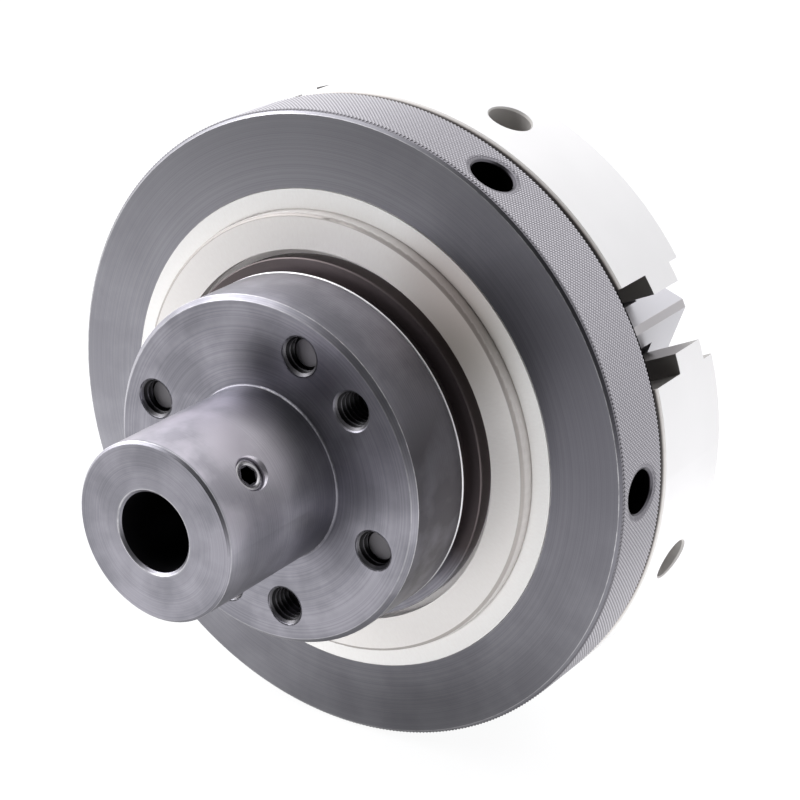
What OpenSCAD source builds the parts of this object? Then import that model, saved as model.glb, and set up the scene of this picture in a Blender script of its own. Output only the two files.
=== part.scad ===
// Four-jaw self-centring scroll chuck for a wood lathe, on an adapter for a plain motor shaft.
// The chuck's axis is Y: the adapter is at the back, towards -Y, and the jaws face +Y.
// The origin is on that axis, where the straight wall of the shaft bore begins.
// Every piece is drawn along its own Z axis and laid onto Y by along_axis().

/* [Adapter] */
// Diameter of the motor shaft that the adapter takes
shaft_d = 12; // [8:0.5:14]
// Chamfer at the mouth of the shaft bore
bore_chamfer = 0.4; // [0.2:0.1:1]
// Diameter of the adapter's hub
hub_d = 26.8; // [24:0.2:30]
// Length of the hub, from its end face to the flange
hub_l = 24.65; // [20:0.05:40]
// Diameter of the adapter's flange
flange_d = 54; // [52:0.5:56]
// Thickness of the flange
flange_t = 13.1; // [8:0.1:16]
// Chamfer on the flange's rear edge
flange_chamfer = 0.75; // [0.3:0.05:1.5]
// Rounding of the flange's front edge
flange_round = 1.5; // [0.5:0.1:2]
// Diameter of the neck between flange and seat
neck_d = 51.6; // [50:0.2:52]
// Length of the neck
neck_l = 1.6; // [1:0.1:3]
// Diameter of the seat that lies in the back cover
seat_d = 57; // [56:0.2:60]
// Thickness of the seat
seat_t = 2.7; // [2:0.1:4]
// Diameter of the register that centres the adapter in the chuck
register_d = 32; // [28:0.5:33]
// Length of the register, from the seat's front face
register_l = 7.4; // [6:0.1:8]
// Distance of the set screws from the hub's end face
set_screw_at = 9.1; // [5:0.1:15]
// Turn of the first set screw from the X axis
set_screw_a = -38.8; // [-60:0.1:-20]
// Chamfer on the hub's end
hub_chamfer = 0.4; // [0.2:0.1:0.8]
// Concave round where the hub meets the flange
hub_round = 0.3; // [0.2:0.1:1.5]
// Chamfer on the seat's rear edge
seat_chamfer = 0.15; // [0.1:0.05:0.5]
// Diameter of the set screws
set_screw_d = 5; // [4:0.5:6]
// Length of a set screw
set_screw_l = 6; // [5:0.5:6.5]
// Chamfer at the mouths of the set screws' holes
set_screw_chamfer = 0.4; // [0.2:0.1:0.6]

/* [Back cover] */
// Diameter of the cover plate
cover_d = 76.3; // [74:0.1:78]
// Thickness of the cover plate outside its boss
cover_t = 4; // [3:0.1:6]
// Diameter of the raised boss
boss_d = 70; // [66:0.5:72]
// Height of the boss
boss_h = 2; // [1:0.1:4]
// Rounding of the boss's edge
boss_round = 0.6; // [0.2:0.1:1]
// Width and depth of the groove at the boss's foot
boss_groove = 0.3; // [0.2:0.1:0.6]
// Depth of the recess that takes the adapter's seat
seat_recess = 1.6; // [1:0.1:2]
// Radial gap around the adapter's seat
seat_gap = 1; // [0.2:0.1:1.2]

/* [Scroll ring] */
// Height of the rim's knurl: the rim is drawn at its root, this much inside the body's
knurl_h = 0.3; // [0.2:0.05:0.5]
// Width of the ring's knurled rim
ring_w = 11.9; // [10.6:0.1:13]
// Chamfer on the ring's rear edge
ring_rear_chamfer = 0.4; // [0.3:0.1:1]
// Chamfer on the ring's front edge
ring_front_chamfer = 0.5; // [0.3:0.1:1]
// Depth of the rear recess that holds the back cover
ring_recess = 3.9; // [3.6:0.1:4.2]
// Radial clearance between the cover plate and the ring's recess
cover_gap = 0.08; // [0.05:0.01:0.1]
// Pitch of the scroll, and so the jaw travel for one turn of the ring
scroll_pitch = 3; // [2.8:0.1:3.2]
// Width of the scroll's groove
groove_w = 1.7; // [1.6:0.05:1.8]
// Depth of the scroll's groove
scroll_depth = 2.9; // [2.4:0.1:3]
// Diameter of the pocket that the scroll fills
scroll_d = 86; // [86:0.5:87]
// Number of bar holes in the ring's rim
ring_holes = 6; // [4:1:8]
// Depth of the ring's bar holes
ring_hole_l = 6; // [5:0.1:6.2]
// Distance of the ring's bar holes from its rear face
ring_hole_at = 5.6; // [4.6:0.1:6]
// Turn of the ring's first bar hole from the X axis
ring_hole_a = -0.9; // [-10:0.1:10]

/* [Chuck body] */
// Outer diameter of the chuck body
chuck_d = 100; // [96:1:110]
// Thickness of the chuck body's disc
body_t = 17.8; // [17:0.1:24]
// Chamfer on the body's edges
body_chamfer = 0.6; // [0.3:0.1:1]
// Diameter of the journal that the ring turns on
journal_d = 52; // [51:0.1:52.4]
// Diameter of the body's centre bore
centre_d = 22; // [20:0.5:24]
// Diameter of the bar holes in ring and body
bar_hole_d = 6.6; // [6:0.1:8]
// Chamfer at the mouths of the bar holes
bar_hole_chamfer = 0.35; // [0.2:0.05:0.6]
// Depth of the body's bar holes
body_hole_l = 12; // [8:0.5:16]
// Distance of the body's bar holes from its rear face
body_hole_at = 9.4; // [8:0.1:11]
// Width of the jaw slots at the base and at the face
slot_w = 15.3; // [14.5:0.1:16]
// Height of the wide base of the jaw slots
slot_base_h = 7.4; // [6:0.1:8.5]
// Width of the jaw slots between their lips
slot_neck_w = 9.2; // [8:0.1:10]
// Depth of the wide part of the slots at the face
slot_face_h = 3.1; // [2:0.1:4]
// Angle of the first jaw slot around the axis
slot_a = -25; // [-45:1:0]

/* [Jaws] */
// Distance of the jaw's inner nose from the axis at rest
jaw_in = 4.4; // [4.2:0.1:5]
// Distance of the jaw's outer nose from the axis at rest
jaw_out = 44.4; // [43:0.1:45.5]
// Width of the jaw's neck
jaw_neck_w = 6.6; // [5:0.1:8]
// Width of the flat on a jaw's nose
nose_flat = 1.3; // [0.8:0.1:2]
// Height of the outer step above the body's face
step_h = 5.5; // [3:0.1:6]
// Rise from one jaw step to the next
step_rise = 6.2; // [4:0.1:8]
// Length of a jaw step
step_l = 11; // [8:0.5:12]
// Rounding of the nose's upper corner
nose_round = 0.7; // [0.4:0.1:1.5]
// Chamfer on the upper edges of the nose's two faces
nose_chamfer = 0.5; // [0.2:0.1:0.8]
// Radius of the first tooth of the first jaw at rest
tooth_r = 29.9; // [29.8:0.05:30]
// Thickness of a jaw tooth
tooth_w = 1.2; // [1:0.05:1.25]
// Width of a jaw tooth across the jaw
tooth_span = 11; // [8:0.5:12]
// Number of teeth on each jaw
tooth_n = 3; // [2:1:3]
// Travel of the jaws towards the axis
travel_in = 3; // [2:0.1:3]
// Travel of the jaws away from the axis
travel_out = 4; // [2:0.1:4]

/* [Fasteners] */
// Diameter of the mounting bolts and of the flange's threaded holes
bolt_d = 6; // [5:0.5:6]
// Diameter of the circle that the bolts stand on
bolt_pcd = 42; // [41:0.5:43]
// Length of a mounting bolt under its head
bolt_l = 40; // [38:0.5:40.5]
// Chamfer on the bolt's end
bolt_point = 0.85; // [0.5:0.05:1]
// Diameter of the bolt's head
bolt_head_d = 10; // [9:0.5:10]
// Clearance of a bolt in its drilled hole, on the diameter
bolt_clearance = 0.6; // [0.4:0.1:1]
// Clearance of the bolt's head in its counterbore, on the diameter
head_clearance = 1; // [0.5:0.1:1.2]
// Diameter of the cover screws
screw_d = 4; // [3:0.5:4]
// Diameter of the cover screws' countersunk head
screw_head_d = 8; // [7:0.5:8]
// Length of a cover screw
screw_l = 10; // [8:0.5:10.5]
// Diameter of the locating pins between cover and body
dowel_d = 3; // [2:0.5:4]
// Length of a locating pin
dowel_l = 6.4; // [4:0.1:6.4]

/* [Fits] */
// Radial clearance of the ring on the body's journal
journal_fit = 0.05; // [0.02:0.01:0.08]
// Clearance of the jaws in their slots, on each side
jaw_fit = 0.08; // [0.05:0.01:0.1]
// Radial clearance between a thread's crests and its nut
thread_fit = 0.05; // [0.02:0.01:0.08]
// Radial clearance of the adapter's register
register_fit = 0.03; // [0.02:0.01:0.05]
// Axial play of the scroll ring on the cover
ring_play = 0.1; // [0.05:0.01:0.2]
// Gap between the ring's front face and the body
rim_gap = 0.3; // [0.2:0.05:0.4]

/* [Hidden] */
$fn = 96;
eps = 0.5;

// Stations along the axis, from the hub's end face to the body's face
z_hub = -bore_chamfer;
z_flange = z_hub + hub_l;
z_neck = z_flange + flange_t;
z_seat = z_neck + neck_l;
z_seat_front = z_seat + seat_t;
z_boss = z_seat_front - seat_recess;
z_plate = z_boss + boss_h;
z_cover_front = z_plate + cover_t;
z_web = z_cover_front + ring_play;
z_ring = z_web - ring_recess;
z_ring_front = z_ring + ring_w;
z_body = z_ring_front + rim_gap;
z_face = z_body + body_t;
z_register = z_seat_front + register_l;
ring_d = chuck_d - 2 * knurl_h;
z_lip = z_body + slot_base_h;
z_slot_face = z_face - slot_face_h;

// The set screws stand a third of a turn apart
set_screw_angles = [set_screw_a, set_screw_a + 120];
// The bolts stand midway between the jaw slots, the cover screws behind the slots
bolt_a = slot_a + 45;
screw_a = slot_a;
dowel_a = [bolt_a + 22.5, bolt_a + 202.5];
// Two of the flange's holes stay free: with one bolt hole they make a second pattern of three
free_hole_a = [bolt_a - 60, bolt_a + 60];

drill_d = bolt_d + bolt_clearance;
counterbore_d = bolt_head_d + head_clearance;
head_h = bolt_d;
head_sink = 0.1;
head_chamfer = 0.5;
z_head = z_face - head_h;
// Sockets: width across flats as a share of the thread, and depth as a share of the head
cap_socket = 5 / 6;
screw_socket = 5 / 8;
socket_depth = 0.5;
hole_countersink = 0.2;
set_screw_tip = 0.5;
hole_bottom = 0.5;
z_screw_hole = z_seat_front + screw_l + hole_bottom;

// Jaw sizes that follow the slot
jaw_w = slot_w - 2 * jaw_fit;
jaw_lift = 0.25;
jaw_gap = 0.1;
z_jaw = z_body + jaw_lift;
z_shoulder = z_lip - jaw_gap;
z_wing = z_slot_face + jaw_gap;
// Teeth stand into the groove and stop short of its floor
tooth_gap = 0.3;
tooth_reach = z_jaw - z_ring_front + scroll_depth - tooth_gap;
// The scroll is drawn in straight steps of this angle
scroll_step = 6;
// Thinnest wall and narrowest groove that are left where the scroll meets bore and rim
scroll_edge = 0.4;

function jaw_angle(i) = slot_a + 90 * i;
// Each jaw meets the scroll a quarter turn later, so its teeth stand a quarter pitch further out
function tooth_centre(i, n) = tooth_r + scroll_pitch * (i / 4 + n);
// Radius of the middle of the scroll's wall at an angle around the ring
function wall_r(a) = tooth_r - scroll_pitch / 2 + scroll_pitch * (a - slot_a) / 360;
function wall_a(r) = slot_a + 360 * (r - tooth_r + scroll_pitch / 2) / scroll_pitch;

module along_axis() {
    rotate([-90, 0, 0]) children();
}

// A child at an angle and a radius around the axis
module around(a, r = 0) {
    rotate([0, 0, a]) translate([r, 0, 0]) children();
}

// A hole that runs inwards from a rim of the given diameter
module rim_hole(a, z, rim_d, depth) {
    rim_r = rim_d / 2;
    wide = bar_hole_d / 2 + bar_hole_chamfer;
    around(a) translate([0, 0, z]) rotate([0, 90, 0]) {
        translate([0, 0, rim_r - depth]) cylinder(d = bar_hole_d, h = depth + eps);
        translate([0, 0, rim_r - bar_hole_chamfer])
            cylinder(d1 = bar_hole_d, r2 = wide + eps, h = bar_hole_chamfer + eps);
    }
}

// A hexagonal socket, given by its width across flats
module hex_socket(af, depth) {
    cylinder(d = af / cos(30), h = depth, $fn = 6);
}

// Half section of a disc with a chamfer on both edges
module disc_section(d, h, rear, front) {
    r = d / 2;
    polygon([[0, 0], [r - rear, 0], [r, rear], [r, h - front], [r - front, h], [0, h]]);
}

// Half section of a disc whose rear edge has a true round
module rounded_section(d, h, round) {
    r = d / 2;
    difference() {
        square([r, h]);
        translate([r - round, -eps]) square([round + eps, round + eps]);
    }
    intersection() {
        translate([r - round, round]) circle(r = round);
        square([r, h]);
    }
}

// Plan of a jaw level: a bar with a right-angled nose at both ends
module jaw_plan(r_in, r_out, w) {
    f = nose_flat / 2;
    h = w / 2;
    s = h - f;
    polygon([[r_in, -f], [r_in + s, -h], [r_out - s, -h], [r_out, -f],
             [r_out, f], [r_out - s, h], [r_in + s, h], [r_in, f]]);
}

module jaw_level(z0, z1, r_out, w) {
    translate([0, 0, z0]) linear_extrude(z1 - z0) jaw_plan(jaw_in, r_out, w);
}

// Cuts the upper corner of a nose to a round across the jaw, and the edges beside it at 45 degrees
module nose_corner(r_out, z) {
    cut = nose_chamfer + eps;
    translate([r_out - nose_round, -jaw_w, z - nose_round]) difference() {
        cube([nose_round + eps, 2 * jaw_w, nose_round + eps]);
        translate([0, -eps, 0]) rotate([-90, 0, 0])
            cylinder(r = nose_round, h = 2 * jaw_w + 2 * eps);
    }
    for (side = [-1, 1])
        translate([r_out, side * nose_flat / 2, z]) rotate([90, 0, side * 45])
            linear_extrude(2 * jaw_w, center = true)
                polygon([[-cut, eps], [eps, eps], [eps, -cut]]);
}

// One tooth: its outer side is curved for the jaw's innermost place in the scroll and
// its inner side for the outermost, so that it clears the groove all the way
module jaw_tooth(r) {
    outer = r + tooth_w / 2;
    inner = r - tooth_w / 2;
    outer_r = outer - travel_in;
    inner_r = inner + travel_out;
    translate([0, 0, z_jaw - tooth_reach]) linear_extrude(tooth_reach + eps)
        intersection() {
            difference() {
                translate([outer - outer_r, 0]) circle(r = outer_r);
                translate([inner - inner_r, 0]) circle(r = inner_r);
            }
            translate([inner - scroll_pitch, -tooth_span / 2])
                square([2 * scroll_pitch, tooth_span]);
        }
}

module jaw(i) {
    color([0.83, 0.83, 0.85]) along_axis() rotate([0, 0, jaw_angle(i)]) {
        difference() {
            union() {
                jaw_level(z_jaw, z_shoulder, jaw_out, jaw_w);
                jaw_level(z_shoulder, z_wing, jaw_out, jaw_neck_w);
                for (k = [0:2])
                    jaw_level(z_wing, z_face + step_h + k * step_rise,
                              jaw_out - k * step_l, jaw_w);
                for (n = [0:tooth_n - 1]) jaw_tooth(tooth_centre(i, n));
            }
            for (k = [0:2])
                nose_corner(jaw_out - k * step_l, z_face + step_h + k * step_rise);
        }
    }
}

// Room for one jaw: a wide base, a neck between the lips and a wide part at the face
module jaw_slot() {
    run = chuck_d / 2 + eps;
    translate([0, -slot_w / 2, z_body]) cube([run, slot_w, slot_base_h]);
    translate([0, -slot_neck_w / 2, z_body]) cube([run, slot_neck_w, body_t + eps]);
    translate([0, -slot_w / 2, z_slot_face]) cube([run, slot_w, slot_face_h + eps]);
}

module chuck_body() {
    color([0.86, 0.86, 0.88]) along_axis() difference() {
        union() {
            translate([0, 0, z_body])
                rotate_extrude() disc_section(chuck_d, body_t, body_chamfer, body_chamfer);
            translate([0, 0, z_cover_front])
                cylinder(d = journal_d, h = z_body - z_cover_front + eps);
        }
        translate([0, 0, z_cover_front - eps])
            cylinder(d = centre_d, h = z_face - z_cover_front + 2 * eps);
        translate([0, 0, z_cover_front - eps])
            cylinder(r = register_d / 2 + register_fit, h = z_register - z_cover_front + eps);
        for (i = [0:3]) {
            rotate([0, 0, jaw_angle(i)]) jaw_slot();
            rim_hole(bolt_a + 90 * i, z_body + body_hole_at, chuck_d, body_hole_l);
            around(bolt_a + 90 * i, bolt_pcd / 2) {
                translate([0, 0, z_cover_front - eps])
                    cylinder(d = drill_d, h = z_face - z_cover_front);
                translate([0, 0, z_head]) cylinder(d = counterbore_d, h = head_h + eps);
            }
            around(screw_a + 90 * i, bolt_pcd / 2) translate([0, 0, z_cover_front - eps])
                cylinder(r = screw_d / 2 + thread_fit, h = z_screw_hole - z_cover_front + eps);
        }
        for (a = dowel_a) around(a, bolt_pcd / 2) translate([0, 0, z_cover_front - eps])
            cylinder(d = dowel_d, h = dowel_l / 2 + eps);
    }
}

// The scroll's wall, an Archimedean spiral as wide as the pitch less the groove.
// It starts and ends square, and runs into bore and rim where the groove beside it gets thin
module scroll_wall(r_in, r_out) {
    half = (scroll_pitch - groove_w) / 2;
    first = wall_a(r_in + scroll_edge - half);
    last = wall_a(r_out - scroll_edge + half);
    steps = floor((last - first) / scroll_step);
    angles = [for (k = [0:steps]) first + k * scroll_step];
    outer = [for (a = angles) wall_r(a) + half];
    inner = [for (a = angles) wall_r(a) - half];
    outer_edge = [for (k = [0:steps])
                  (outer[k] > r_out - scroll_edge ? r_out + eps : outer[k])
                  * [cos(angles[k]), sin(angles[k])]];
    inner_edge = [for (k = [steps:-1:0])
                  (inner[k] < r_in + scroll_edge ? r_in - eps : inner[k])
                  * [cos(angles[k]), sin(angles[k])]];
    difference() {
        polygon(concat(outer_edge, inner_edge));
        circle(r = r_in);
    }
}

module scroll_ring() {
    r = ring_d / 2;
    bore_r = journal_d / 2 + journal_fit;
    recess_r = cover_d / 2 + cover_gap;
    pocket_r = scroll_d / 2;
    z_floor = z_ring_front - scroll_depth;
    color([0.42, 0.42, 0.45]) along_axis() difference() {
        union() {
            rotate_extrude() polygon([
                [bore_r, z_web], [recess_r, z_web], [recess_r, z_ring],
                [r - ring_rear_chamfer, z_ring], [r, z_ring + ring_rear_chamfer],
                [r, z_ring_front - ring_front_chamfer], [r - ring_front_chamfer, z_ring_front],
                [pocket_r, z_ring_front], [pocket_r, z_floor], [bore_r, z_floor]]);
            translate([0, 0, z_floor - eps])
                linear_extrude(scroll_depth + eps) scroll_wall(bore_r, pocket_r);
        }
        for (k = [0:ring_holes - 1])
            rim_hole(ring_hole_a + 360 / ring_holes * k, z_ring + ring_hole_at,
                     ring_d, ring_hole_l);
    }
}

module back_cover() {
    color([0.8, 0.79, 0.77]) along_axis() difference() {
        union() {
            translate([0, 0, z_plate]) cylinder(d = cover_d, h = cover_t);
            translate([0, 0, z_boss])
                rotate_extrude() rounded_section(boss_d, boss_h + eps, boss_round);
        }
        translate([0, 0, z_boss - eps])
            cylinder(r = seat_d / 2 + seat_gap, h = seat_recess + eps);
        translate([0, 0, z_plate - eps]) difference() {
            cylinder(r = boss_d / 2 + boss_groove, h = boss_groove + eps);
            cylinder(r = boss_d / 2, h = boss_groove + eps);
        }
        translate([0, 0, z_boss])
            cylinder(r = register_d / 2 + register_fit, h = boss_h + cover_t + eps);
        for (i = [0:3]) {
            around(bolt_a + 90 * i, bolt_pcd / 2) translate([0, 0, z_boss])
                cylinder(d = drill_d, h = boss_h + cover_t + eps);
            around(screw_a + 90 * i, bolt_pcd / 2) screw_shape(bolt_clearance / 2, eps);
        }
        for (a = dowel_a) around(a, bolt_pcd / 2)
            translate([0, 0, z_cover_front - dowel_l / 2])
                cylinder(d = dowel_d, h = dowel_l / 2 + eps);
    }
}

module shaft_adapter() {
    front = z_register - z_hub;
    color([0.24, 0.24, 0.27]) along_axis() difference() {
        union() {
            translate([0, 0, z_hub])
                rotate_extrude() disc_section(hub_d, hub_l + eps, hub_chamfer, 0);
            translate([0, 0, z_flange - hub_round]) rotate_extrude() difference() {
                translate([hub_d / 2 - eps, 0]) square([hub_round + eps, hub_round + eps]);
                translate([hub_d / 2 + hub_round, 0]) circle(r = hub_round);
            }
            translate([0, 0, z_flange]) rotate_extrude() difference() {
                disc_section(flange_d, flange_t, flange_chamfer, 0);
                translate([flange_d / 2 - flange_round, flange_t - flange_round]) difference() {
                    square(flange_round + eps);
                    circle(r = flange_round);
                }
            }
            translate([0, 0, z_neck - eps]) cylinder(d = neck_d, h = neck_l + 2 * eps);
            translate([0, 0, z_seat])
                rotate_extrude() disc_section(seat_d, seat_t, seat_chamfer, 0);
            translate([0, 0, z_seat]) cylinder(d = register_d, h = z_register - z_seat);
        }
        translate([0, 0, z_hub - eps]) cylinder(d = shaft_d, h = front + 2 * eps);
        translate([0, 0, z_hub])
            cylinder(d1 = shaft_d + 2 * bore_chamfer, d2 = shaft_d, h = bore_chamfer);
        for (a = concat([for (i = [0:3]) bolt_a + 90 * i], free_hole_a))
            around(a, bolt_pcd / 2) translate([0, 0, z_flange]) {
                translate([0, 0, -eps]) cylinder(d = bolt_d, h = z_seat_front - z_flange + 2 * eps);
                cylinder(d1 = bolt_d + 2 * hole_countersink, d2 = bolt_d, h = hole_countersink);
            }
        for (a = set_screw_angles) around(a)
            translate([0, 0, z_hub + set_screw_at]) rotate([0, 90, 0]) {
                cylinder(d = set_screw_d, h = hub_d / 2 + eps);
                translate([0, 0, hub_d / 2 - set_screw_chamfer])
                    cylinder(d1 = set_screw_d, d2 = set_screw_d + 2 * (set_screw_chamfer + eps),
                             h = set_screw_chamfer + eps);
            }
    }
}

// A socket cap screw, with its head in the body's face and its end in the adapter's flange
module mounting_bolt(i) {
    color([0.3, 0.3, 0.32]) along_axis()
        around(bolt_a + 90 * i, bolt_pcd / 2) difference() {
            union() {
                translate([0, 0, z_head]) rotate_extrude()
                    disc_section(bolt_head_d, head_h - head_sink, 0, head_chamfer);
                translate([0, 0, z_head - bolt_l]) rotate_extrude()
                    disc_section(bolt_d - 2 * thread_fit, bolt_l + eps, bolt_point, 0);
            }
            translate([0, 0, z_face - head_h * socket_depth])
                hex_socket(bolt_d * cap_socket, head_h);
        }
}

// Outline of a countersunk screw, made larger by a clearance for its hole
module screw_shape(clearance, rear = 0) {
    r = screw_d / 2 + clearance;
    head = screw_head_d / 2 + clearance;
    translate([0, 0, z_seat_front]) {
        cylinder(r = r, h = screw_l);
        cylinder(r1 = head, r2 = r, h = head - r);
        translate([0, 0, -rear]) cylinder(r = head, h = rear);
    }
}

module cover_screw(i) {
    color([0.3, 0.3, 0.32]) along_axis() around(screw_a + 90 * i, bolt_pcd / 2)
        difference() {
            translate([0, 0, head_sink]) screw_shape(0);
            translate([0, 0, z_seat_front])
                hex_socket(screw_d * screw_socket, screw_d * socket_depth);
        }
}

// A headless set screw in the hub, whose tip stops just short of the shaft
module set_screw(i) {
    color([0.2, 0.2, 0.22]) along_axis()
        around(set_screw_angles[i], shaft_d / 2 + set_screw_tip)
            translate([0, 0, z_hub + set_screw_at]) rotate([0, 90, 0]) difference() {
                cylinder(r = set_screw_d / 2 - thread_fit, h = set_screw_l);
                translate([0, 0, set_screw_l * socket_depth])
                    hex_socket(set_screw_d * socket_depth, set_screw_l);
            }
}

module locating_pin(i) {
    color([0.6, 0.6, 0.62]) along_axis() around(dowel_a[i], bolt_pcd / 2)
        translate([0, 0, z_cover_front - dowel_l / 2]) cylinder(d = dowel_d, h = dowel_l);
}

chuck_body();
scroll_ring();
back_cover();
shaft_adapter();
jaw(0);  // jaw_1
jaw(1);  // jaw_2
jaw(2);  // jaw_3
jaw(3);  // jaw_4
mounting_bolt(0);  // mounting_bolt_1
mounting_bolt(1);  // mounting_bolt_2
mounting_bolt(2);  // mounting_bolt_3
mounting_bolt(3);  // mounting_bolt_4
cover_screw(0);  // cover_screw_1
cover_screw(1);  // cover_screw_2
cover_screw(2);  // cover_screw_3
cover_screw(3);  // cover_screw_4
set_screw(0);  // set_screw_1
set_screw(1);  // set_screw_2
locating_pin(0);  // locating_pin_1
locating_pin(1);  // locating_pin_2
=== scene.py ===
import math

import bpy
import numpy as np
from mathutils import Matrix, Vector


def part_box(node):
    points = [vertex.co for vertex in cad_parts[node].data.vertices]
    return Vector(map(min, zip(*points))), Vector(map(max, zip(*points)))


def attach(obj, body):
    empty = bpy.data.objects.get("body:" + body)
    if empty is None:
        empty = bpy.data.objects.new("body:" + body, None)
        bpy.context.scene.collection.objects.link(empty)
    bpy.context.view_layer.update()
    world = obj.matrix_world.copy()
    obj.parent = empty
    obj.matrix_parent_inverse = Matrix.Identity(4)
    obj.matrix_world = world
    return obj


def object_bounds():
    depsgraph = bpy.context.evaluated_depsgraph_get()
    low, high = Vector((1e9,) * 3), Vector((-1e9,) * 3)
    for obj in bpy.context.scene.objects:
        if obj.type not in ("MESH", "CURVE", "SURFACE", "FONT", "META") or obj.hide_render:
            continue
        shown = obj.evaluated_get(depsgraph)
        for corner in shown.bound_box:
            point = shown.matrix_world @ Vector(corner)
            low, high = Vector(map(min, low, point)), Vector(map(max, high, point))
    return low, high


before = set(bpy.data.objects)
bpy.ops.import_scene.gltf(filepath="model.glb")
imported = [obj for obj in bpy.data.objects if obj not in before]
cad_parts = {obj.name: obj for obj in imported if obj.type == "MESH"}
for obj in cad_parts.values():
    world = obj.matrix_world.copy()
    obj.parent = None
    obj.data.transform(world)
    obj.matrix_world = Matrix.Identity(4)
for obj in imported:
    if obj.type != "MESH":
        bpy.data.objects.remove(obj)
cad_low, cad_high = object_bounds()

# A four-jaw scroll chuck on its shaft adapter, lying on its rim. Lengths are in metres, and the
# chuck's axis is Y: the adapter is towards -Y and the jaws towards +Y. A turn is an angle about
# that axis, from +X towards +Z.

MM = 0.001
TAU = 2 * math.pi

RING_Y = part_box("scroll_ring")[0][1]
RING_R = 49.7 * MM
KNURL_R = (49.84 * MM, 50.0 * MM)  # its roots and its peaks
KNURL_Y = (RING_Y + 0.4 * MM, RING_Y + 11.4 * MM)
KNURL_STEPS = (960, 34)  # half pitches, a third of a mm each, round the rim and across it
BAR_HOLES = 6
BAR_HOLE_Y = RING_Y + 5.6 * MM
BAR_HOLE_R = 3.65 * MM  # at the chamfer's outer edge
BAR_HOLE_TURN = math.radians(0.9)

FLANGE_Y = 24.25 * MM
FLANGE_CHAMFER = 0.21 * MM  # at the mouth of a threaded hole
HOLE_CIRCLE = 21 * MM
THREAD_R = (2.5 * MM, 2.99 * MM)  # its crest, and its root just inside the hole's wall
THREAD_PITCH = 1.0 * MM
THREAD_SIDES = 40
THREAD_ROWS = 16  # rows in a pitch
BOLT_TURNS = [math.radians(-20 + 90 * k) for k in range(4)]
BOLT_END_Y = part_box("mounting_bolt_1")[0][1]
FREE_TURNS = [math.radians(40), math.radians(-80)]
SEAT_FRONT_Y = 41.65 * MM

SET_SCREW_TURNS = [math.radians(38.8), math.radians(-81.2)]
SET_SCREW_Y = 8.7 * MM
# The rounded edge's profile: its radius and its distance from the chuck's axis, in mm
SOCKET_EDGE = [(2.3, 12.49), (2.25, 12.58), (2.1, 12.64), (1.8, 12.64), (1.6, 12.56), (1.5, 12.45)]

BODY_HOLE_TURN = math.radians(-20)
JAW_TURN = math.radians(25)


# ---- Shapes ----

def piece(name, points, faces, body, material, smooth=True, bright=None):
    """A mesh object from its points and faces, riding on a body; bright is kept as an attribute."""
    mesh = bpy.data.meshes.new(name)
    mesh.from_pydata(points.reshape(-1, 3).tolist(), [], faces.tolist())
    if bright is not None:
        mesh.attributes.new("bright", "FLOAT", "POINT").data.foreach_set("value", bright.ravel())
    mesh.polygons.foreach_set("use_smooth", np.full(len(mesh.polygons), smooth))
    mesh.materials.append(material)
    obj = bpy.data.objects.new(name, mesh)
    bpy.context.scene.collection.objects.link(obj)
    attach(obj, body)
    return obj


def round_axis(turn, radius, y):
    """Points about the Y axis: x = radius cos(turn) and z = radius sin(turn)."""
    turn, radius, y = np.broadcast_arrays(turn, radius, y)
    return np.stack([radius * np.cos(turn), y, radius * np.sin(turn)], -1)


def tube_index(columns, rows):
    """Each square of a tube's grid: the index of its point in its own column and in the next."""
    column, row = np.arange(columns)[:, None], np.arange(rows - 1)[None]
    return column * rows + row, (column + 1) % columns * rows + row


def knurled_band(columns, rows):
    """Diamond knurl: a grid of half-pitch steps round the rim, where every other point is a peak.

    A point is a peak where its column and row add up to an odd number, and lies at the root
    elsewhere; the band's first and last row lie on the ring's own rim. Each square is split
    between its two root points, which makes four-sided pyramids. Points inside a bar hole move
    out to its edge and down to the rim, the heights near it grow with the distance, and the
    faces whose three points have all moved are left out."""
    rim_r = RING_R + 0.01 * MM
    edge = BAR_HOLE_R + 0.05 * MM
    margin, rise = 0.18 * MM, 0.6 * MM
    i, j = np.meshgrid(np.arange(columns), np.arange(rows + 1), indexing="ij")
    turn = TAU * i / columns
    y = KNURL_Y[0] + (KNURL_Y[1] - KNURL_Y[0]) * j / rows
    radius = np.where((i + j) % 2 == 1, KNURL_R[1], KNURL_R[0])
    radius = np.where((j > 0) & (j < rows), radius, rim_r)
    spacing = TAU / BAR_HOLES
    hole = np.round((turn - BAR_HOLE_TURN) / spacing)
    across = (turn - BAR_HOLE_TURN - hole * spacing) * RING_R
    along = y - BAR_HOLE_Y
    away = np.hypot(across, along)
    moved = away < edge + margin
    push = np.where(moved, edge / np.maximum(away, 1e-6), 1.0) - 1
    turn = turn + across * push / RING_R
    y = y + along * push
    height = np.clip((away - edge) / rise, 0, 1) * (radius - rim_r)
    points = round_axis(turn, np.where(moved, rim_r, rim_r + height), y)
    a, b = tube_index(columns, rows + 1)
    even = ((i + j) % 2 == 0)[:, :-1, None]
    first = np.where(even, np.stack([a, b, b + 1], -1), np.stack([a, b, a + 1], -1))
    second = np.where(even, np.stack([a, b + 1, a + 1], -1), np.stack([b, b + 1, a + 1], -1))
    faces = np.concatenate([first.reshape(-1, 3), second.reshape(-1, 3)])
    faces = faces[~moved.reshape(-1)[faces].all(1)]
    return points, faces[:, ::-1] if facing_in(points.reshape(-1, 3)[faces]) else faces


def facing_in(corners):
    """True if triangles around the Y axis turn their backs outwards."""
    normal = np.cross(corners[:, 1] - corners[:, 0], corners[:, 2] - corners[:, 0])
    middle = corners.mean(1) * [1, 0, 1]
    return (normal * middle).sum() < 0


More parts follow.
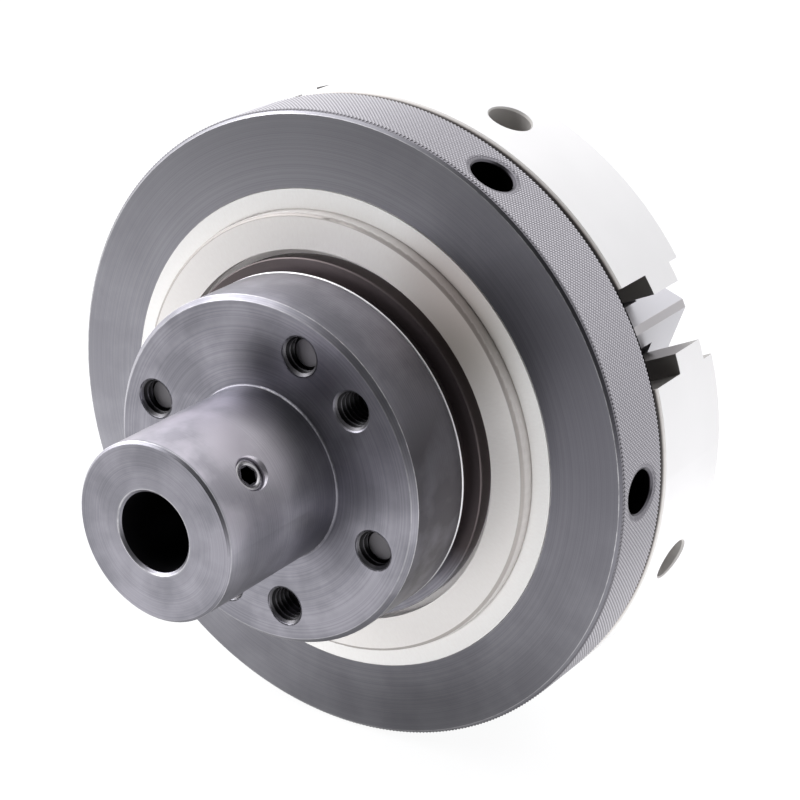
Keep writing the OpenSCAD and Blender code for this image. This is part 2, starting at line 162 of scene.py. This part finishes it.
def bead(r, y, size, segments=240, sides=12):
    """A thin round bead about the Y axis: a torus of radius r at y whose section has the radius
    size. All three are in mm."""
    turn, angle = np.meshgrid(np.arange(segments) * TAU / segments, np.arange(sides) * TAU / sides,
                              indexing="ij")
    points = round_axis(turn, (r + size * np.cos(angle)) * MM, (y + size * np.sin(angle)) * MM)
    column, k = np.arange(segments)[:, None], np.arange(sides)[None]
    n, m, after = column * sides, (column + 1) % segments * sides, (k + 1) % sides
    return points, np.stack([n + k, n + after, m + after, m + k], -1).reshape(-1, 4)


def thread_wall(turn, y0, y1):
    """Inner thread behind a chamfer: a tube round a hole's axis, its faces towards that axis.

    Its radius runs from the crest to the root and back once a pitch along a helix, as a clipped
    triangle wave of y / pitch - angle / full turn, and is never less than a 45 degree cone that
    starts at the root at y0. The last row lies at the root. Bright is 1 on the crests, 0 a little
    below them, where the material paints the flanks near black as painted shade, and in between on
    the cone."""
    crest, root = THREAD_R
    cone_length, crest_height = 0.55 * MM, 0.12 * MM
    rows = int(round((y1 - y0) / THREAD_PITCH * THREAD_ROWS)) + 1
    angle, y = np.meshgrid(np.arange(THREAD_SIDES) * TAU / THREAD_SIDES,
                           np.linspace(y0, y1, rows), indexing="ij")
    phase = (y / THREAD_PITCH - angle / TAU) % 1
    wave = np.clip(1.3 * (1 - np.abs(2 * phase - 1)) - 0.15, 0, 1)
    radius = np.maximum(crest + (root - crest) * wave, root - (y - y0))
    radius[:, -1] = root
    points = np.stack([HOLE_CIRCLE * math.cos(turn) + radius * np.cos(angle), y,
                       HOLE_CIRCLE * math.sin(turn) + radius * np.sin(angle)], -1)
    n, m = tube_index(THREAD_SIDES, rows)
    bright = np.clip(1 - (radius - crest) / crest_height, 0, 1)
    bright = np.where(y - y0 < cone_length, 0.7, bright)
    return points, np.stack([n, m, m + 1, n + 1], -1).reshape(-1, 4), bright


def turned_outwards(profile, segments, turn, y):
    """Surface of revolution about a line that runs outwards from the Y axis at a turn.

    The profile holds (radius about that line, distance from the Y axis) in mm."""
    r, out = np.asarray(profile).T * MM
    angle = np.arange(segments)[:, None] * TAU / segments
    aside = r[None] * np.cos(angle)
    x = out[None] * math.cos(turn) - aside * math.sin(turn)
    z = out[None] * math.sin(turn) + aside * math.cos(turn)
    points = np.stack([x, y + r[None] * np.sin(angle), z], -1)
    n, m = tube_index(segments, len(r))
    return points, np.stack([n, n + 1, m + 1, m], -1).reshape(-1, 4)


# ---- Materials ----

COLOUR = {"data_type": "RGBA", "out": 2}  # a Mix node on colours, whose sockets are 0, 6 and 7


def linear(code):
    """sRGB hex to linear RGBA."""
    c = np.array([int(code[i:i + 2], 16) for i in (0, 2, 4)]) / 255
    c = np.where(c <= 0.04045, c / 12.92, ((c + 0.055) / 1.055) ** 2.4)
    return (*c.tolist(), 1.0)


def add(tree, kind, sockets=(), out=0, stops=(), **settings):
    """One shader node with its own settings; gives the output that out names.

    The sockets come in order or by name: an output is linked, an sRGB hex is turned linear, and
    any other value is set as it is. Stops are a colour ramp's (place, sRGB hex) pairs."""
    node = tree.nodes.new("ShaderNode" + kind)
    for key, value in settings.items():
        setattr(node, key, value)
    for key, source in sockets.items() if isinstance(sockets, dict) else enumerate(sockets):
        if isinstance(source, bpy.types.NodeSocket):
            tree.links.new(source, node.inputs[key])
        else:
            node.inputs[key].default_value = linear(source) if isinstance(source, str) else source
    if stops:
        points = node.color_ramp.elements
        while len(points) < len(stops):
            points.new(0.5)
        for point, (where, code) in zip(points, stops):
            point.position, point.color = where, linear(code)
    return node.outputs[out] if node.outputs else node


def start(name, metallic, roughness):
    """A new material: its tree, its Principled shader, the Object coordinates whole and as
    (x, y, z), and the distance from the Y axis."""
    m = bpy.data.materials.new(name)
    m.use_nodes = True
    t = m.node_tree
    shader = t.nodes["Principled BSDF"]
    shader.inputs["Metallic"].default_value = metallic
    shader.inputs["Roughness"].default_value = roughness
    place = add(t, "TexCoord", out="Object")
    x, y, z = add(t, "SeparateXYZ", (place,)).node.outputs
    section = add(t, "CombineXYZ", (x, z))
    radius = add(t, "VectorMath", (section,), out="Value", operation="LENGTH")
    return m, t, shader, place, (x, y, z), radius


def product(tree, share, *others):
    """The product of several values: of shares, it is whole only where each of them is."""
    for other in others:
        share = add(tree, "Math", (share, other), operation="MULTIPLY")
    return share


def within(tree, source, low, high):
    """1 where a length lies between two limits in mm, and 0 elsewhere."""
    return product(tree, add(tree, "Math", (source, low * MM), operation="GREATER_THAN"),
                   add(tree, "Math", (source, high * MM), operation="LESS_THAN"))


def turning(tree, directions, marks_per_mm):
    """Fine rings left by a lathe tool: noise that changes only along the directions given, the
    radius and y on a turned form, or the radius alone on a face."""
    return add(tree, "TexNoise", {"Vector": add(tree, "CombineXYZ", directions),
                                  "Scale": marks_per_mm / MM, "Detail": 3.0, "Roughness": 0.6})


def edge_wear_and_highlight(tree, radius, y, place, edges):
    """Where turned edges have lost their skin, and where painted highlight lines lie along edges:
    up to its strength close to each circle (radius, y, width in mm, strength), broken up by chips
    about
    1.5 mm across, and 0 elsewhere."""
    section = add(tree, "CombineXYZ", (radius, y))
    total = 0.0
    for r, at, width, strength in edges:
        away = add(tree, "VectorMath", (section, (r * MM, at * MM, 0.0)), out="Value",
                   operation="DISTANCE")
        near = add(tree, "MapRange", (away, 0.4 * width * MM, width * MM, strength, 0.0))
        total = add(tree, "Math", (total, near), operation="MAXIMUM")
    chips = add(tree, "TexNoise", {"Vector": place, "Scale": 0.7 / MM, "Detail": 3.0})
    return product(tree, total, add(tree, "MapRange", (chips, 0.35, 0.55, 0.4, 1.0)))


def add_painted_light_spots(tree, place, skin, painted_light_spots):
    """The skin with soft round patches of painted light and painted shade: each (x, y, z, inner and
    outer size in mm, strength, colour) is whole inside its inner size and gone at its outer one."""
    for x, y, z, inner, outer, strength, code in painted_light_spots:
        away = add(tree, "VectorMath", (place, (x * MM, y * MM, z * MM)), out="Value",
                   operation="DISTANCE")
        share = add(tree, "MapRange", (away, inner * MM, outer * MM, strength, 0.0),
                    interpolation_type="SMOOTHSTEP")
        skin = add(tree, "Mix", {0: share, 6: skin, 7: code}, **COLOUR)
    return skin


def black_oxide(name, low, high, roughness, marks_per_mm, pits_per_mm, lines="e4e4e7",
                pitting=0.25, edges=(), painted_shade_bands=(), painted_light_bands=(), painted_light_spots=()):
    """Black oxide on turned steel: a thin dark grey-violet skin that keeps the metal's sheen,
    bare steel along edges, partly wear and partly painted highlight lines, and faint turned lines.

    The skin runs from low to high in clouds about 8 mm across, and the turned lines multiply it
    by lines at most. Each painted shade band (from radius, to radius, from y, to y, lowest height
    in mm, colour) stays dark as shade painted in a hollow, such as the bore and the bar holes. Each
    painted light band (the same four, two heights and a length in mm, colour) comes in from the
    first height to the second and fades out over the length at its end: paler for a painted
    highlight, darker for painted shade. Painted light spots lie under all of these."""
    m, t, shader, place, (x, y, z), radius = start(name, 1.0, roughness)
    cloud = add(t, "TexNoise", {"Vector": place, "Scale": 0.13 / MM, "Detail": 4.0})
    skin = add(t, "ValToRGB", (cloud,), stops=[(0.38, low), (0.62, high)])
    skin = add_painted_light_spots(t, place, skin, painted_light_spots)
    rings = turning(t, (radius, y), marks_per_mm)
    shade = add(t, "ValToRGB", (rings,), stops=[(0.35, lines), (0.6, "ffffff")])
    skin = add(t, "Mix", {0: 1.0, 6: skin, 7: shade}, blend_type="MULTIPLY", **COLOUR)
    if edges:
        skin = add(t, "Mix", {0: edge_wear_and_highlight(t, radius, y, place, edges), 6: skin, 7: "f4f3f6"}, **COLOUR)
    for r0, r1, y0, y1, lowest, code in painted_shade_bands:
        above = add(t, "MapRange", (z, (lowest - 5) * MM, (lowest + 1) * MM))
        band = product(t, within(t, radius, r0, r1), within(t, y, y0, y1), above)
        skin = add(t, "Mix", {0: band, 6: skin, 7: code}, **COLOUR)
    for r0, r1, y0, y1, z0, z1, fade, code in painted_light_bands:
        end = add(t, "MapRange", (y, (y1 - fade) * MM, y1 * MM, 1.0, 0.0))
        height = add(t, "MapRange", (z, z0 * MM, z1 * MM))
        patches = add(t, "MapRange", (cloud, 0.38, 0.6, 0.35, 1.0))
        band = product(t, within(t, radius, r0, r1), within(t, y, y0, y1), end, height, patches)
        skin = add(t, "Mix", {0: band, 6: skin, 7: code}, **COLOUR)
    t.links.new(skin, shader.inputs["Base Color"])
    pits = add(t, "TexNoise", {"Vector": place, "Scale": pits_per_mm / MM, "Detail": 2.0})
    turned = add(t, "Bump", {"Strength": 0.25, "Distance": 0.012 * MM, "Height": rings})
    pitted = add(t, "Bump", {"Strength": pitting, "Distance": 0.02 * MM, "Height": pits,
                             "Normal": turned})
    t.links.new(pitted, shader.inputs["Normal"])
    return m


def knurled_oxide(name):
    """Black oxide on a knurl: paler towards the crests, partly from wear and partly as a painted
    highlight, and darker in the valleys.
    """
    m, t, shader, *_, radius = start(name, 1.0, 0.4)
    height = add(t, "MapRange", (radius, KNURL_R[0], KNURL_R[1] - 0.01 * MM))
    skin = add(t, "ValToRGB", (height,),
               stops=[(0.0, "7a787e"), (0.5, "aaa8ae"), (1.0, "cbc9cf")])
    t.links.new(skin, shader.inputs["Base Color"])
    return m


def threaded_oxide(name):
    """Threads cut in black oxide steel: near-black flanks, painted shade inside the hole, and
    steel-grey crests.
    """
    m, t, shader, *_ = start(name, 0.7, 0.35)
    crest = add(t, "Attribute", attribute_name="bright", out="Fac")
    skin = add(t, "ValToRGB", (crest,),
               stops=[(0.0, "1b1a1d"), (0.5, "4f4e52"), (1.0, "8d8b90")])
    t.links.new(skin, shader.inputs["Base Color"])
    return m


def nickel_plate(name, low, high, roughness, marks_per_mm):
    """Satin nickel plate over turned steel: pale, faintly warm, in clouds about 20 mm across and
    with fine tool rings. Also used for plain steel, which is darker and has the same rings. With
    the material it gives the parts of it that other plates build on."""
    m, t, shader, place, xyz, radius = start(name, 1.0, roughness)
    cloud = add(t, "TexNoise", {"Vector": place, "Scale": 0.045 / MM, "Detail": 3.0})
    plain = add(t, "ValToRGB", (cloud,), stops=[(0.3, low), (0.7, high)])
    t.links.new(plain, shader.inputs["Base Color"])
    bump = add(t, "Bump", {"Strength": 0.25, "Distance": 0.01 * MM,
                           "Height": turning(t, (radius, xyz[1]), marks_per_mm)})
    t.links.new(bump, shader.inputs["Normal"])
    return m, t, shader, xyz, radius, plain


def reach(tree, xyz, turn):
    """A point's distance from the Y axis along a turn, either way: |x cos(turn) + z sin(turn)|."""
    parts = [add(tree, "Math", (source, factor), operation="MULTIPLY")
             for source, factor in ((xyz[0], math.cos(turn)), (xyz[2], math.sin(turn)))]
    return add(tree, "Math", (add(tree, "Math", parts, operation="ADD"),), operation="ABSOLUTE")


def body_plate(name):
    """Matt white nickel plate on the rim, which scatters light, a turned satin front face, grey
    metal in the bar holes and darker metal in the slots; the rear chamfer is painted brownish and
    dark towards the ring as painted shade and a painted reflection of the dark ring."""
    m, t, shader, xyz, radius, plain = nickel_plate(name, "e9e8ea", "f0eff1", 0.32, 6)
    y = xyz[1]
    rear, chamfer_end, front_face = 54.45, 55.06, 72.2  # along the axis, in mm
    hole_bottom, chamfer_foot, rim_r = 36.0, 49.3, 49.95  # from the axis, in mm
    hole_r, hole_sides = 3.6, (60.0, 67.8)
    chamfer = product(t, within(t, radius, chamfer_foot, 50.1), within(t, y, 54.0, chamfer_end))
    rim = add(t, "Math", (radius, rim_r * MM), operation="GREATER_THAN")
    outside = add(t, "Math", (rim, chamfer), operation="MAXIMUM")
    aside = [reach(t, xyz, BODY_HOLE_TURN + k * TAU / 4) for k in range(2)]
    beside = add(t, "Math", aside, operation="MINIMUM")
    hole = product(t, add(t, "Math", (beside, hole_r * MM), operation="LESS_THAN"),
                   within(t, radius, hole_bottom, rim_r), within(t, y, *hole_sides))
    matt = add(t, "Math", (outside, hole), operation="MAXIMUM")
    metal = add(t, "MapRange", (matt, 0.0, 1.0, 0.6, 0.15))
    t.links.new(metal, shader.inputs["Metallic"])
    skin = add(t, "Mix", {0: hole, 6: "a19d9b", 7: "bdbab8"}, **COLOUR)
    skin = add(t, "Mix", {0: outside, 6: skin, 7: plain}, **COLOUR)
    lines = add(t, "ValToRGB", (turning(t, (radius,), 5),),
                stops=[(0.35, "b3b2b6"), (0.65, "cdccd0")])
    front = add(t, "Math", (y, front_face * MM), operation="GREATER_THAN")
    skin = add(t, "Mix", {0: front, 6: skin, 7: lines}, **COLOUR)
    # Painted shade and painted reflection of the dark ring on the rear chamfer, darkest next to the
    # ring
    along = add(t, "MapRange", (y, rear * MM, chamfer_end * MM))
    gap = add(t, "ValToRGB", (along,),
              stops=[(0.25, "454140"), (0.4, "9a9492"), (0.55, "d9d3d0"), (0.75, "f4f1ef")])
    skin = add(t, "Mix", {0: chamfer, 6: skin, 7: gap}, **COLOUR)
    t.links.new(skin, shader.inputs["Base Color"])
    return m


def jaw_plate(name):
    """Ground nickel plate on the jaws, smooth and pale: the narrow flat on each outer nose, which
    lies 44.4 mm from the axis, is painted a plain grey as painted shade."""
    m, t, shader, xyz, _, plain = nickel_plate(name, "b3b2b8", "bdbcc2", 0.28, 8)
    shader.inputs["Metallic"].default_value = 0.6
    far = add(t, "Math", [reach(t, xyz, JAW_TURN - k * TAU / 4) for k in range(2)],
              operation="MAXIMUM")
    flat = add(t, "Math", (far, 44.37 * MM), operation="GREATER_THAN")
    # The nose flats' grey is painted shade
    skin = add(t, "Mix", {0: flat, 6: plain, 7: "b6b3b6"}, **COLOUR)
    t.links.new(skin, shader.inputs["Base Color"])
    return m


def ground_cover(name):
    """Ground and plated steel cover, matt and nearly white: faint marks about 1 mm long and a
    third of a mm wide run outwards from the axis, the raised boss is a little darker with painted
    shade on its rounded edge, and a brownish painted shadow of the adapter lies up on the right."""
    m, t, shader, place, (x, y, z), radius = start(name, 0.3, 0.4)
    turn = add(t, "Math", (z, x), operation="ARCTAN2")
    marks_round, marks_outwards = 90.0, 0.9 / MM  # in a radian, and in a length
    line = add(t, "CombineXYZ", [
        add(t, "Math", (turn, marks_round), operation="MULTIPLY"),
        add(t, "Math", (radius, marks_outwards), operation="MULTIPLY")])
    marks = add(t, "TexNoise", {"Vector": line, "Scale": 1.0, "Detail": 4.0, "Roughness": 0.7})
    plain = add(t, "ValToRGB", (marks,), stops=[(0.3, "f9f7f6"), (0.7, "fefdfc")])
    # A brownish painted shadow of the adapter, up on the right
    plain = add_painted_light_spots(t, place, plain, [(23.0, 41.5, 20.8, 1.0, 15.0, 0.9, "a8a29c"),
                                      (21.0, 41.5, 30.0, 1.0, 13.0, 0.6, "c4b9b6")])
    boss = add(t, "MapRange", (radius, 34.9 * MM, 35.2 * MM, 1.0, 0.0))
    # Painted shade on the boss's rounded edge
    edge = product(t, boss, add(t, "MapRange", (radius, 34.4 * MM, 34.5 * MM)))
    shade = add(t, "Mix", {0: edge, 6: "faf8f7", 7: "b9b4b2"}, **COLOUR)
    skin = add(t, "Mix", {0: boss, 6: plain, 7: shade}, blend_type="MULTIPLY", **COLOUR)
    t.links.new(skin, shader.inputs["Base Color"])
    bump = add(t, "Bump", {"Strength": 0.12, "Distance": 0.01 * MM, "Height": marks})
    t.links.new(bump, shader.inputs["Normal"])
    return m


adapter_steel = black_oxide(
    "black oxide on turned steel", "96959d", "b0aeb7", 0.4, 5, 4,
    # Pale edge lines: bare steel from wear, strengthened as painted highlights
    edges=[(13.4, 0.0, 0.16, 0.3),      # the hub's end
           (6.4, -0.4, 0.2, 0.5),       # the bore's mouth
           (13.6, 24.0, 0.2, 0.6),      # the hub's root
           (26.25, 24.25, 0.16, 0.25),  # the flange's front chamfer
           (26.95, 25.05, 0.12, 0.8),
           (26.9, 36.7, 0.5, 1.0),      # painted highlight line on the flange's rear edge
           (28.4, 38.95, 0.12, 0.4)],   # the seat's edge
    painted_shade_bands=[(0.0, 6.1, 0.0, 60.0, -60.0, "4a484d"),       # painted shade in the bore
          (20.0, 28.6, 37.4, 41.5, -12.0, "6a6263")],   # painted shade in the neck and on the seat
    painted_light_bands=[(13.0, 13.9, 0.3, 20.0, 0.0, 10.0, 8.0, "c4bfc9"),    # painted highlight on the top of the hub
           (26.6, 27.1, 25.1, 37.2, 18.0, 8.0, 0.1, "626065")],  # painted shade on the side of the flange, fading out towards its top
    painted_light_spots=[(1.5, 26.5, 17.0, 1.0, 10.0, 0.95, "3e3d43"),   # painted shade on the flange above the hub
            (10.5, 24.5, 17.0, 1.0, 9.0, 0.9, "525158"),
            (8.7, 12.0, 10.3, 2.0, 10.0, 1.0, "e2dee6"),    # painted highlight round the set screw
            (13.3, 7.0, 1.5, 1.5, 8.0, 0.9, "7b7a82"),      # painted shade on the hub's right side
            (12.0, 21.0, -7.0, 2.0, 9.0, 0.8, "6b6a72"),
            (16.0, 24.3, 2.0, 1.0, 7.0, 0.7, "7a7980"),     # painted shade on the flange beside the hub
            (26.5, 31.0, 6.0, 2.0, 14.0, 0.7, "75747b"),    # painted shade on the flange's right side
            (4.0, 18.5, 12.7, 1.0, 5.0, 0.8, "b5b2bd")])    # painted highlight on the hub before the flange
ring_steel = black_oxide(
    "black oxide on ground steel", "94939a", "a09fa6", 0.3, 7, 3, lines="eeeef0", pitting=0.4,
    # Pale lines on the face's outer and inner edges: wear and painted highlights
    edges=[(49.3, 42.25, 0.1, 0.5), (38.23, 42.25, 0.1, 0.3)],
    painted_shade_bands=[(43.0, 49.45, 44.0, 51.6, -60.0, "28262a"),       # painted shade in the bar holes
          (49.45, 49.75, 44.0, 51.6, -60.0, "5c5a60")],     # painted shade on their chamfers
    painted_light_spots=[(41.0, 42.0, 12.0, 8.0, 42.0, 0.9, "706f76"),   # painted shade on the right
            (-14.0, 42.0, 40.0, 8.0, 46.0, 0.9, "adacb3")])  # painted highlight at the top
knurl_steel = knurled_oxide("black oxide on a knurl")
thread_steel = threaded_oxide("black oxide in a thread")
body_nickel = body_plate("matt nickel plate")
jaw_nickel = jaw_plate("ground nickel plate")
cover_steel = ground_cover("ground and plated steel")
bolt_steel = nickel_plate("plain bolt steel", "7b797d", "8b898d", 0.5, 6)[0]
# The set screw's socket is painted near black as painted shade.
socket_steel = black_oxide("black oxide on a set screw", "6d6b71", "85838a", 0.25, 6, 5,
                           painted_shade_bands=[(0.0, 12.1, 0.0, 20.0, -60.0, "252427")])
bright_steel = nickel_plate("bright steel edge", "a3a1a5", "b6b4b8", 0.25, 6)[0]
burr_steel = nickel_plate("burnished steel", "f6f5f8", "fefdff", 0.35, 6)[0]

finishes = {"chuck_body": body_nickel, "scroll_ring": ring_steel, "back_cover": cover_steel,
            "shaft_adapter": adapter_steel, "jaw": jaw_nickel, "mounting_bolt": bolt_steel,
            "cover_screw": bolt_steel, "set_screw": socket_steel, "locating_pin": bolt_steel}
for name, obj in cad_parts.items():
    finish = finishes[name if name in finishes else name.rsplit("_", 1)[0]]
    obj.data.materials.clear()
    obj.data.materials.append(finish)

# ---- Pieces ----

piece("rim_knurl", *knurled_band(*KNURL_STEPS), "scroll", knurl_steel, smooth=False)

for kind, turns, end in (("bolt_hole", BOLT_TURNS, BOLT_END_Y + 0.3 * MM),
                         ("free_hole", FREE_TURNS, SEAT_FRONT_Y - 0.1 * MM)):
    for k, turn in enumerate(turns):
        points, faces, bright = thread_wall(turn, FLANGE_Y + FLANGE_CHAMFER, end)
        piece(f"{kind}_thread_{k + 1}", points, faces, "chuck", thread_steel,
                      bright=bright)

# The burnished burr on the flange's rear edge
piece("flange_burr", *bead(26.82, 36.55, 0.21), "chuck", burr_steel)

# A rounded bright edge around each set screw's socket
for k, turn in enumerate(SET_SCREW_TURNS):
    piece(f"socket_edge_{k + 1}", *turned_outwards(SOCKET_EDGE, 48, turn, SET_SCREW_Y),
                  "chuck", bright_steel)


# ---- Floor, light and camera ----

def floor_plane(size):
    """A square floor at the chuck's lowest point, white to the camera, with a faint shadow. It
    lights the chuck from below like a lit table: its level is low under the chuck, falls towards
    the front and changes in two steps towards the back. Matt surfaces get more of it, mostly
    below the hub."""
    z = cad_low[2]
    h = size / 2
    foot = (0.012, 0.03, z)
    mesh = bpy.data.meshes.new("floor")
    mesh.from_pydata([(-h, -h, z), (h, -h, z), (h, h, z), (-h, h, z)], [], [(0, 1, 2, 3)])
    obj = bpy.data.objects.new("floor", mesh)
    bpy.context.scene.collection.objects.link(obj)
    m = bpy.data.materials.new("white paper floor")
    m.use_nodes = True
    t = m.node_tree
    t.nodes.remove(t.nodes["Principled BSDF"])
    place = add(t, "TexCoord", out="Object")
    y = add(t, "SeparateXYZ", (place,), out="Y")
    away = add(t, "VectorMath", (place, foot), out="Value", operation="DISTANCE")
    under = add(t, "MapRange", (away, 0.005, 0.08, 0.26, 1.25))
    front = add(t, "MapRange", (y, -0.23, -0.06, 0.06, 1.0))
    level = product(t, under, front, add(t, "MapRange", (y, 0.05, 0.1, 1.0, 1.3)),
                    add(t, "MapRange", (y, 0.13, 0.16, 1.0, 0.7)))
    path = add(t, "LightPath").node.outputs
    matt = product(t, path["Is Diffuse Ray"], front,
                   add(t, "MapRange", (y, 0.0, 0.06, 2.3, 0.95)))
    level = add(t, "Math", (level, matt), operation="MAXIMUM")
    camera_level, camera_glow = 1.1, 0.84  # the rest of the white is paper that takes the shadow
    level = add(t, "Mix", {0: path["Is Camera Ray"], 2: level, 3: camera_level},
                data_type="FLOAT")
    plain = add(t, "BsdfDiffuse", {"Color": "f4f6fb"})
    glow = add(t, "Emission", {"Color": "ffffff", "Strength": level})
    seen = add(t, "MapRange", (path["Is Camera Ray"], 0.0, 1.0, 1.0, camera_glow))
    t.links.new(add(t, "MixShader", (seen, plain, glow)),
                t.nodes["Material Output"].inputs["Surface"])
    mesh.materials.append(m)


def soft_box(name, place, target, size, power):
    """A square area lamp that faces a point."""
    data = bpy.data.lights.new(name, "AREA")
    data.shape, data.size, data.energy = "SQUARE", size, power
    obj = bpy.data.objects.new(name, data)
    bpy.context.scene.collection.objects.link(obj)
    back = np.array(place, float) - np.array(target, float)
    z = back / np.linalg.norm(back)
    x = np.cross([0.0, 0.0, 1.0], z)
    x = x / np.linalg.norm(x)
    y = np.cross(z, x)
    m = np.eye(4)
    m[:3, 0], m[:3, 1], m[:3, 2], m[:3, 3] = x, y, z, place
    obj.matrix_world = Matrix(m.tolist())


def white_room(level, sides):
    """The world: white where the camera sees it. As light it is a soft room of an even level,
    times the change on each side (direction, cosines where the change starts and is whole,
    change)."""
    world = bpy.data.worlds.new("white room")
    bpy.context.scene.world = world
    world.use_nodes = True
    t = world.node_tree
    t.nodes.clear()
    way = add(t, "TexCoord", out="Generated")
    for side, rim, core, change in sides:
        dot = add(t, "VectorMath", (way, side), out="Value", operation="DOT_PRODUCT")
        level = product(t, level, add(t, "MapRange", (dot, rim, core, 1.0, change),
                                      interpolation_type="SMOOTHSTEP"))
    level = add(t, "Math", (level, add(t, "LightPath", out="Is Camera Ray")), operation="MAXIMUM")
    light = add(t, "Background", {"Color": "ffffff", "Strength": level})
    add(t, "OutputWorld", {"Surface": light})


floor_plane(6.0)
white_room(0.98, [((0.25, -0.9, 0.36), 0.42, 0.8, 0.02),     # nearly black behind the camera
                  ((-0.45, 0.35, 0.82), 0.35, 0.85, 1.65)])  # brightest up behind on the left
middle = (0, 0.04, 0)
soft_box("key light", (-0.8, -0.45, 0.4), middle, 0.8, 7.0)
soft_box("top light", (-0.2, 0.3, 0.9), middle, 0.8, 1.0)

# The camera stands where the photograph's did, worked out from the circles of hub and rim
camera = bpy.data.objects.new("camera", bpy.data.cameras.new("camera"))
bpy.context.scene.collection.objects.link(camera)
camera.data.lens, camera.data.sensor_width = 103.5, 36.0
camera.data.clip_start, camera.data.clip_end = 0.01, 20.0
camera.matrix_world = Matrix(((0.82633812, -0.21338379, 0.52118391, 0.1892546),
                              (0.56317431, 0.31309518, -0.76472616, -0.2177198),
                              (0.0, 0.92543977, 0.37889475, 0.1370035),
                              (0.0, 0.0, 0.0, 1.0)))
bpy.context.scene.camera = camera
bpy.context.scene.view_settings.view_transform = "Standard"
